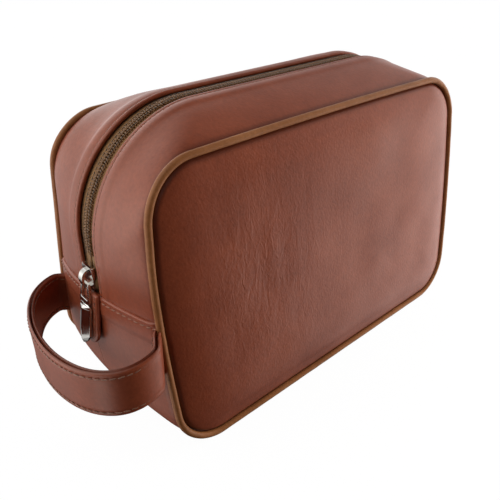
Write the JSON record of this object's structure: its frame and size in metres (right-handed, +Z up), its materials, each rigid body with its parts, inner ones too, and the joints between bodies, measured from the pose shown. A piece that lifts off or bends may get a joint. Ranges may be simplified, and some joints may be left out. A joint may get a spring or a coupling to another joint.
{
  "type": "shaving kit bag",
  "caption": "Soft leather wash bag with domed front and back panels, tan piping, a zip over the top and down its left end, and a short carry strap on that end.",
  "frame": {"origin": "middle of the base, on the surface it stands on", "axes": "+X along the bag, away from the end with the carry strap; -Y out of the front panel; +Z up"},
  "size_m": [0.2758, 0.1212, 0.1568],
  "materials": {
    "brown_leather": "satin",
    "tan_leather": "satin",
    "padding": "matte",
    "lining": "matte",
    "board": "matte",
    "cord": "matte",
    "zip_tape": "matte",
    "zip_coil": "satin",
    "nickel": "polished"
  },
  "bodies": {
    "bag_base": {"lower_gusset": "brown_leather", "lower_gusset_lining": "lining", "base_board": "board", "left_zip_tab": "brown_leather", "right_zip_tab": "brown_leather", "zip_bottom_stop": "nickel"},
    "front_half": {"front_panel": "brown_leather", "front_panel_padding": "padding", "front_panel_lining": "lining", "front_piping": "tan_leather", "front_piping_cord": "cord", "front_seam_binding": "lining", "front_zip_strip": "brown_leather", "front_zip_strip_lining": "lining", "front_zip_tape": "zip_tape", "front_zip_coil": "zip_coil", "front_top_stop": "nickel"},
    "back_half": {"back_panel": "brown_leather", "back_panel_padding": "padding", "back_panel_lining": "lining", "back_piping": "tan_leather", "back_piping_cord": "cord", "back_seam_binding": "lining", "back_zip_strip": "brown_leather", "back_zip_strip_lining": "lining", "back_zip_tape": "zip_tape", "back_zip_coil": "zip_coil", "back_top_stop": "nickel"},
    "slider": {"zip_slider": "nickel", "slider_bridge": "nickel"},
    "puller": {"zip_puller": "nickel"},
    "carry_strap": {"carry_strap_outer": "brown_leather", "carry_strap_inner": "brown_leather"}
  },
  "joints": [
    {"name": "front_opens", "type": "hinge", "parent": "bag_base", "child": "front_half", "pos_m": [0, -0.0578, 0.0024], "axis": [1, 0, 0], "range_deg": [0, 12]},
    {"name": "back_opens", "type": "hinge", "parent": "bag_base", "child": "back_half", "pos_m": [0, 0.0578, 0.0024], "axis": [-1, 0, 0], "range_deg": [0, 12]},
    {"name": "slider_runs", "type": "hinge", "parent": "bag_base", "child": "slider", "pos_m": [-0.0578, 0, 0.0969], "axis": [0, -1, 0], "range_deg": [-94, 0]},
    {"name": "puller_swings", "type": "hinge", "parent": "slider", "child": "puller", "pos_m": [-0.12006, 0, 0.08441], "axis": [0, 1, 0], "range_deg": [0, 33]},
    {"name": "strap_swings", "type": "hinge", "parent": "bag_base", "child": "carry_strap", "pos_m": [-0.12825, -0.00821, 0.05516], "axis": [0.0105, 0.9901, -0.1402], "range_deg": [-30, 55], "stiffness_Nm_per_rad": 0.05}
  ],
  "couplings": [
    {"joint": "back_opens", "follows": "front_opens", "ratio": 1}
  ]
}
